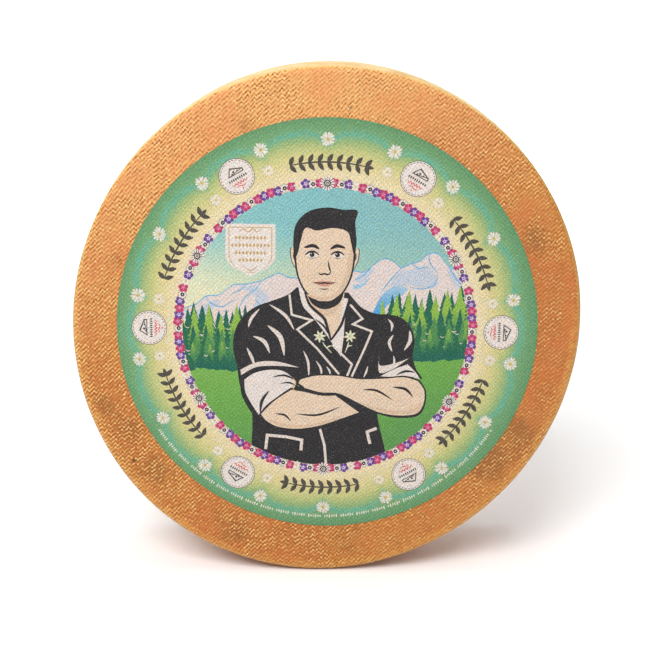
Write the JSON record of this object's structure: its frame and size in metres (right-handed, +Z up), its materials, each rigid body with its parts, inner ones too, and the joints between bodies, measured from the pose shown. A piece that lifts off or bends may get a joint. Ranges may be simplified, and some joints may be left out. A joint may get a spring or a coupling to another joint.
{
  "type": "cheese wheel",
  "caption": "Round pressed cheese wheel with a washed, cloth-marked rind and a round printed paper label on its front face, standing on its rim.",
  "frame": {"origin": "on the floor, under the middle of the part's box: the wheel stands on its rim", "axes": "+Z up; the wheel's axis runs along Y, and the labelled front face looks along -Y"},
  "size_m": [0.3206, 0.0804, 0.3266],
  "materials": {
    "rind": "satin washed rind with a woven press-cloth imprint",
    "label_paper": "matt print on fine-grained paper"
  },
  "bodies": {
    "root": {"cheese_wheel": "rind", "face_label": "label_paper"}
  },
  "joints": []
}
